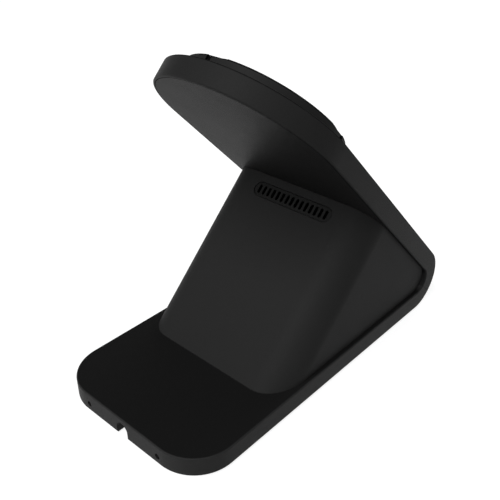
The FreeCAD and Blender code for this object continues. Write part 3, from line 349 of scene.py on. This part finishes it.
screw_marks = (0.0004, 0.0004, 0.0001)
screw_steel = bare_metal(
    "screw_steel", 0.1, (0.19, 0.19, 0.2), screw_marks, depth=0.000004, rough=(0.3, 0.45)
)
screwed = ("plate", "inlet", "board", "housing", "contact", "dock")
dress(screw_steel, *(f"{piece}_screws" for piece in screwed))

# Ballast bars: two sawn lengths of flat mild steel, laid in the tray so that the station can't tip.
# Their faces keep the long marks of the rolling mill, and are only oiled.
rolling_marks = (0.0006, 0.02, 0.0006)
rolled_steel = bare_metal(
    "rolled_steel", (0.24, 0.24, 0.25), (0.42, 0.41, 0.4), rolling_marks, depth=0.00001, rough=(0.35, 0.6)
)
dress(rolled_steel, "ballast_bars")

# Boards: glass fibre sheet with copper tracks under a dark green mask, which is glossy over the copper.
# The inlet board lies in the base, the main board in the housing and the contact board in the head.
board_mask, board_tree, board_shader = new_material("board_mask")
track_step = 0.0013
track_edge = (0.38, 0.44)
copper_green = (0.02, 0.12, 0.05)
sheet_green = (0.008, 0.06, 0.03)
mask_rough = (0.28, 0.4)
mask_height = 0.00003
track_cells = {"Vector": piece_place(board_tree, [track_step] * 3), "Scale": 1}
track_cells = add_node(board_tree, "ShaderNodeTexVoronoi", track_cells, feature="F1", distance="CHEBYCHEV")
bare_sheet = ramp(board_tree, track_cells.outputs["Distance"], *track_edge)
board_green = blend_colours(board_tree, bare_sheet, copper_green, sheet_green)
feed(board_tree, board_shader.inputs["Base Color"], board_green)
feed(board_tree, board_shader.inputs["Roughness"], between(board_tree, bare_sheet, *mask_rough))
emboss(board_tree, board_shader, bare_sheet, mask_height)
dress(board_mask, "inlet_board", "main_board", "contact_board")

# Power socket: a shell pressed from plated sheet round a contact tongue.
# It is soldered to the inlet board, with its mouth in the wall of the plug bay.
pressing_marks = (0.0003, 0.004, 0.0003)
pressed_sheet = bare_metal(
    "pressed_sheet", (0.5, 0.5, 0.51), (0.66, 0.66, 0.67), pressing_marks, depth=0.000004, rough=(0.2, 0.32)
)
dress(pressed_sheet, "power_socket")

# Header and ribbon connector: black blocks moulded round pins, between the boards and the cable.
# Both are soldered down, the header to the inlet board and the connector to the main board.
block_black = matte_black(
    "block_black", 0.012, 0.018, edge=0.03, grain=0.0002, depth=0.000008, rough=(0.4, 0.5), shine=0.3
)
dress(block_black, "board_header", "ribbon_connector")

# Transformer: two pressed halves of dark ferrite round a taped winding.
# The halves are ground where they meet, and glued to each other and to the main board.
ferrite = matte_black(
    "ferrite", 0.03, 0.06, edge=0.08, grain=0.0004, depth=0.00003, rough=(0.6, 0.75), shine=0.2
)
dress(ferrite, "transformer")

# Capacitors: drawn aluminium cans in black sleeves, which are shrunk on with heat and stay glossy.
# They stand in a row on the main board, soldered by their leads.
shrunk_sleeve = matte_black(
    "shrunk_sleeve", 0.02, 0.035, edge=0.06, grain=0.0008, depth=0.00001, rough=(0.22, 0.32), shine=0.45
)
dress(shrunk_sleeve, "capacitors")

# Ribbon cable: flat conductors laminated between two pale films, so that each conductor shows as a rib.
# It is led from the main board up behind the plate to the contact board.
ribbon_film, film_tree, film_shader = new_material("ribbon_film")
wire_pitch = 0.001
film_between = (0.5, 0.5, 0.48)
film_on_wire = (0.72, 0.72, 0.69)
film_rough = (0.42, 0.3)
rib_height = 0.00008
ribs = {"Vector": piece_place(film_tree, [wire_pitch] * 3), "Scale": 1 / math.pi}
ribs = add_node(film_tree, "ShaderNodeTexWave", ribs).outputs["Fac"]
film_white = blend_colours(film_tree, ribs, film_between, film_on_wire)
feed(film_tree, film_shader.inputs["Base Color"], film_white)
feed(film_tree, film_shader.inputs["Roughness"], between(film_tree, ribs, *film_rough))
emboss(film_tree, film_shader, ribs, rib_height)
dress(ribbon_film, "ribbon_cable")

# Housing: a thin wedge moulded in black plastic, with a fine texture etched in the mould.
# It stands in the fold of the strip, and is screwed on from inside the base.
# Its edges are painted darker than its face, as painted shade along them.
moulded_black = matte_black(
    "moulded_black", 0.025, 0.0302, edge=0.012, grain=0.0004, depth=0.0001, rough=(0.51, 0.61), shine=0.047
)
dress(moulded_black, "housing_shell")

# Vent grille: a small moulding with a row of upright slots, a little darker than the housing.
# It is pushed in from behind the housing's rear wall, and its flange stops it there.
grille_black = matte_black(
    "grille_black", 0.014, 0.018, edge=0.022, grain=0.00025, depth=0.00001, rough=(0.45, 0.55), shine=0.12
)
dress(grille_black, "vent_grille")

# Contact springs: coils of drawn steel wire between the contact board and the contacts' collars.
# A coil shortens by the contact's travel when a tablet presses on it.
contact_count = 5
contact_step = 0.004
coil_radius = 0.0008
coil_base = -0.0038
coil_top = 0.0015
coil_turns = 4
coil_steps = 24
wire_radius = 0.00015
wire_steps = 10
wire_marks = (0.0001,) * 3
spring_wire = bare_metal(
    "spring_wire", (0.42, 0.42, 0.43), (0.6, 0.6, 0.61), wire_marks, depth=0.000002, rough=(0.22, 0.34)
)
for number in range(1, contact_count + 1):
    middle = head_middle + Vector((contact_step * (number - (contact_count + 1) / 2), 0, 0))
    sections = []
    for step in range(coil_turns * coil_steps + 1):
        angle = 2 * math.pi * step / coil_steps
        share = step / (coil_turns * coil_steps)
        level = coil_base + wire_radius + share * (coil_top - coil_base - 2 * wire_radius)
        aside = Vector((1, 0, 0)) * math.cos(angle) + head_up * math.sin(angle)
        wire = middle + aside * coil_radius + head_out * level
        section = []
        for turn in range(wire_steps):
            turned = 2 * math.pi * turn / wire_steps
            section.append(wire + (aside * math.cos(turned) + head_out * math.sin(turned)) * wire_radius)
        sections.append(section)
    coil = bmesh.new()
    sweep(coil, sections)
    spring = add_piece(f"contact_coil_{number}", coil, spring_wire, "springs", f"contact_spring_{number}")
    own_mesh(spring)

# Contacts: turned brass pins with round tips, plated with gold over nickel.
# Each slides in a bore of the contact block, held out by its spring.
turning_marks = (0.0002,) * 3
gold_plate = bare_metal(
    "gold_plate", (0.74, 0.5, 0.19), (0.86, 0.63, 0.29), turning_marks, depth=0.000002, rough=(0.16, 0.28)
)
dress(gold_plate, *(f"contact_pin_{number}" for number in range(1, contact_count + 1)))

# Contact block: a block moulded like the connectors, with a bore for each of the five contacts.
# It stands on the contact board and comes out through the dock's floor and its face disc.
dress(block_black, "contact_block")

# Dock ring: turned from a moulded blank, with two key notches of each hand, screwed to the head.
# Its wall is as the housing; its front is rougher, and it and a band along the top edge are painted darker,
# as painted shade. The faces inside the ring below its top, the notches' faces among them, are painted nearly
# black, as painted shade.
dock_radius = 0.044
wall_start = dock_radius - 0.0004
wall_full = dock_radius - 0.0002
wall_top = dock_height - 0.0005
key_top = dock_height - 0.0002
edge_fade = 0.0002
wall_rough = (0.46, 0.58)
front_rough = 0.85
ring_shine = 0.05
ring_bump = 0.00001

# Distance from the dock's axis, and height on the head's front, for the pieces turned about that axis.
dock_place, _, place_out = new_group("dock_place", {}, ["Reach", "Rise"])
dock_arm = {0: add_node(dock_place, "ShaderNodeTexCoord", {}).outputs["Object"], 1: head_middle}
dock_arm = add_node(dock_place, "ShaderNodeVectorMath", dock_arm, operation="SUBTRACT").outputs["Vector"]
flat_arm = {"X": along(dock_place, dock_arm, Vector((1, 0, 0))), "Y": along(dock_place, dock_arm, head_up)}
flat_arm = add_node(dock_place, "ShaderNodeCombineXYZ", flat_arm).outputs["Vector"]
dock_reach = add_node(dock_place, "ShaderNodeVectorMath", {0: flat_arm}, operation="LENGTH").outputs["Value"]
feed(dock_place, place_out["Reach"], dock_reach)
feed(dock_place, place_out["Rise"], along(dock_place, dock_arm, head_out))

ring_black, ring_tree, ring_shader = new_material("ring_black")
ring_grain = place_group(ring_tree, fine_grain, Grain=0.00025, Patch=0.02)
ring_place = place_group(ring_tree, dock_place)
ring_outside = ramp(ring_tree, ring_place["Reach"], wall_start, wall_full)
ring_below = ramp(ring_tree, ring_place["Rise"], wall_top, wall_top - edge_fade)
sunk_shade = ramp(ring_tree, ring_place["Rise"], key_top, key_top - edge_fade)
ring_wall = between(ring_tree, ring_outside, 0, ring_below)
wall_black = blend_colours(ring_tree, ring_grain["Speckle"], 0.0235, 0.0285)
# The front and a band along the ring's top edge are painted darker, as painted shade.
front_shade_black = blend_colours(ring_tree, ring_grain["Speckle"], 0.009, 0.012)
# The faces inside the ring below its top, the key notches among them, are painted nearly black, as painted
# shade.
notch_shade_black = blend_colours(ring_tree, sunk_shade, front_shade_black, 0.003)
inner_shade_black = blend_colours(ring_tree, ring_outside, notch_shade_black, front_shade_black)
ring_colour = blend_colours(ring_tree, ring_wall, inner_shade_black, wall_black)
feed(ring_tree, ring_shader.inputs["Base Color"], ring_colour)
wall_gloss = between(ring_tree, ring_grain["Patches"], *wall_rough)
feed(ring_tree, ring_shader.inputs["Roughness"], between(ring_tree, ring_wall, front_rough, wall_gloss))
ring_shader.inputs["Specular IOR Level"].default_value = ring_shine
emboss(ring_tree, ring_shader, ring_grain["Speckle"], ring_bump)
dress(ring_black, "dock_ring")

# Dock magnets: pressed and sintered discs, plated with nickel against rust.
# They are glued in seats of the dock's floor, under the face disc.
plating_marks = (0.0006,) * 3
nickel = bare_metal(
    "nickel", (0.58, 0.56, 0.51), (0.7, 0.68, 0.63), plating_marks, depth=0.000003, rough=(0.15, 0.25)
)
dress(nickel, "dock_magnets")

# Face disc: a thin disc of satin black plastic, faced on a lathe so that fine rings show.
# It is clipped into the dock ring over the magnets and the screws.
face_satin, face_tree, face_shader = new_material("face_satin")
cut_pitch = 0.0004
cut_depth = 0.000012
face_rough = (0.34, 0.46)
face_shine = 0.25
face_reach = place_group(face_tree, dock_place)["Reach"]
face_rings = ramp(face_tree, reckon(face_tree, "PINGPONG", face_reach, cut_pitch), 0, cut_pitch)
face_grain = place_group(face_tree, fine_grain, Grain=0.0003, Patch=0.02)
feed(face_tree, face_shader.inputs["Base Color"], blend_colours(face_tree, face_rings, 0.015, 0.021))
feed(face_tree, face_shader.inputs["Roughness"], between(face_tree, face_grain["Patches"], *face_rough))
face_shader.inputs["Specular IOR Level"].default_value = face_shine
emboss(face_tree, face_shader, face_rings, cut_depth)
dress(face_satin, "dock_face")

# Bottom cover: sheet steel, blanked with the plug bay and the cable slot left open.
# It is painted black on both sides, and closes the tray from below.
cover_paint = matte_black(
    "cover_paint", 0.014, 0.02, edge=0.05, grain=0.0005, depth=0.00002, rough=(0.45, 0.58), shine=0.2
)
dress(cover_paint, "bottom_cover")

# Cover screws: small button heads with a hexagon socket, turned from steel and plated.
# They are driven up from below into the tray, and sit in counterbores of the cover.
head_radius = 0.0022
shank_radius = 0.001
hexagon = 6
button_steps = 48
button_profile = [
    (0.0011, 0.0005, hexagon),
    (0.00118, 0, hexagon),
    (0.00135, 0),
    (0.0018, 0.00008),
    (0.0021, 0.00028),
    (head_radius, 0.00052),
    (head_radius, 0.0008),
    (shank_radius, 0.0008),
    (shank_radius, 0.0055),
    (0.0007, 0.0058),
]


def turn_up(shape, middle, steps, profile):
    """Turn a profile of radius and height about an upright axis. A third number gives a ring flat sides."""
    sections = []
    for radius, height, *sides in profile:
        section = []
        for step in range(steps):
            angle = 2 * math.pi * step / steps
            reach = radius
            if sides:
                half_side = math.pi / sides[0]
                reach = radius * math.cos(half_side) / math.cos(angle % (2 * half_side) - half_side)
            section.append(middle + Vector((reach * math.cos(angle), reach * math.sin(angle), height)))
        sections.append(section)
    sweep(shape, sections)


def four_places(node, radius):
    """Middles of four round solids of one node, at the height of its lowest face."""
    low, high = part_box(node)
    x_places = (low[0] + radius, high[0] - radius)
    y_places = (low[1] + radius, high[1] - radius)
    return [Vector((x, y, low[2])) for x in x_places for y in y_places]


button_marks = (0.0002,) * 3
button_steel = bare_metal(
    "button_steel", (0.14, 0.14, 0.145), (0.24, 0.24, 0.25), button_marks, depth=0.000003, rough=(0.25, 0.4)
)
buttons = bmesh.new()
for place in four_places("cover_screws", head_radius):
    turn_up(buttons, place, button_steps, button_profile)
add_piece("cover_buttons", buttons, button_steel, "screws", "cover_screws")

# Rubber feet: moulded discs with two grip rings pressed in their soles and a rounded edge.
# They are stuck in round seats of the cover.
foot_radius = 0.007
foot_steps = 72
ring_depth = 0.00025
foot_profile = [
    (0.0004, 0),
    (0.0019, 0),
    (0.002, ring_depth),
    (0.0026, ring_depth),
    (0.0027, 0),
    (0.0045, 0),
    (0.0046, ring_depth),
    (0.0052, ring_depth),
    (0.0053, 0),
    (0.0066, 0),
    (0.00688, 0.00012),
    (foot_radius, 0.0004),
    (foot_radius, 0.0015),
]
foot_rubber = matte_black(
    "foot_rubber", 0.011, 0.017, edge=0.025, grain=0.0006, depth=0.00004, rough=(0.75, 0.9), shine=0.2
)
feet = bmesh.new()
for place in four_places("rubber_feet", foot_radius):
    turn_up(feet, place, foot_steps, foot_profile)
add_piece("grip_feet", feet, foot_rubber, "rubber", "rubber_feet")

# Floor: a pale matt table, seen as plain white paper by the camera and in the object's gloss.
# It keeps the soft shadow of the station where that stands on it, and is whitest far off, past the lamps.
floor_size = 4
floor_grey = 0.35
floor_white = 0.86
far_white = 1
far_start, far_full = 0.5, 2
floor_paint, floor_tree, floor_shader = new_material("floor_paint")
floor_shader.inputs["Base Color"].default_value = (floor_grey, floor_grey, floor_grey, 1)
floor_shader.inputs["Roughness"].default_value = 0.9
floor_shader.inputs["Specular IOR Level"].default_value = 0
floor_shader.inputs["Emission Color"].default_value = (1, 1, 1, 1)
rays = add_node(floor_tree, "ShaderNodeLightPath", {}).outputs
seen = rays["Is Camera Ray"]
for ray in ("Is Glossy Ray", "Is Transmission Ray"):
    seen = reckon(floor_tree, "MAXIMUM", seen, rays[ray])
floor_reach = {0: add_node(floor_tree, "ShaderNodeTexCoord", {}).outputs["Object"]}
floor_reach = add_node(floor_tree, "ShaderNodeVectorMath", floor_reach, operation="LENGTH").outputs["Value"]
far_share = ramp(floor_tree, floor_reach, far_start, far_full)
paper_white = between(floor_tree, far_share, floor_white, far_white)
feed(floor_tree, floor_shader.inputs["Emission Strength"], between(floor_tree, seen, 0, paper_white))
floor_shape = bmesh.new()
bmesh.ops.create_grid(floor_shape, x_segments=1, y_segments=1, size=floor_size)
floor_mesh = bpy.data.meshes.new("floor")
floor_shape.to_mesh(floor_mesh)
floor_shape.free()
floor_mesh.materials.append(floor_paint)
floor = bpy.data.objects.new("floor", floor_mesh)
floor.location.z = cad_low.z
bpy.context.scene.collection.objects.link(floor)

# Surround: the studio's walls, white at the horizon and dim overhead.
# The side towards +X is darker, as the photograph shows on the rounded edges there.
overhead = 0.02
wall_bright = 0.38
wall_dim = 0.2
horizon_rise = 0.14
surround = bpy.data.worlds.new("surround")
surround.use_nodes = True
sky = surround.node_tree
toward = add_node(sky, "ShaderNodeTexCoord", {}).outputs["Generated"]
rise = along(sky, toward, Vector((0, 0, 1)))
fall = add_node(sky, "ShaderNodeValToRGB", {"Fac": rise})
for stop, level in ((0.12, 0.75), (0.3, 0.16), (0.6, 0.03)):
    fall.color_ramp.elements.new(stop).color = (level, level, level, 1)
fall.color_ramp.elements[0].color = (1, 1, 1, 1)
fall.color_ramp.elements[-1].color = (overhead, overhead, overhead, 1)
dark_side = ramp(sky, along(sky, toward, Vector((1, 0, 0))), 0, 0.8)
wall_strength = between(sky, dark_side, wall_bright, wall_dim)
backdrop = sky.nodes["Background"]
feed(sky, backdrop.inputs["Color"], fall.outputs["Color"])
feed(sky, backdrop.inputs["Strength"], between(sky, ramp(sky, rise, 0, horizon_rise), 1, wall_strength))
bpy.context.scene.world = surround

# Softboxes: one large square lamp high behind the station, on the camera's side,
# and a smaller and weaker one low at the front, which lights the dock and the plate.
softbox_distance = 1.6
for name, way, size, energy in (
    ("rear_softbox", (-0.03, 0.57, 0.82), 1.1, 19),
    ("front_softbox", (0.12, -0.93, 0.35), 0.9, 11),
):
    lamp = bpy.data.lights.new(name, "AREA")
    lamp.shape = "SQUARE"
    lamp.size = size
    lamp.energy = energy
    softbox = bpy.data.objects.new(name, lamp)
    softbox.location = Vector(way).normalized() * softbox_distance
    softbox.rotation_mode = "QUATERNION"
    softbox.rotation_quaternion = (-Vector(way)).to_track_quat("-Z", "Y")
    bpy.context.scene.collection.objects.link(softbox)
bpy.context.scene.view_settings.view_transform = "Standard"

# Camera: where the photograph was taken from, behind the base and above it.
# Its place, direction, slight roll and lens are fitted to the outline in the photograph.
lens = bpy.data.cameras.new("camera")
lens.lens = 50.46
lens.sensor_width = 36
lens.shift_y = 0.0014
lens.clip_start = 0.01
camera = bpy.data.objects.new("camera", lens)
camera.location = (-0.2141, 0.2491, 0.2644)
camera_way = Vector((0.5690, -0.6319, -0.5262))
camera_roll = Quaternion((0, 0, 1), 0.002)
camera.rotation_mode = "QUATERNION"
camera.rotation_quaternion = camera_way.to_track_quat("-Z", "Y") @ camera_roll
bpy.context.scene.collection.objects.link(camera)
bpy.context.scene.camera = camera
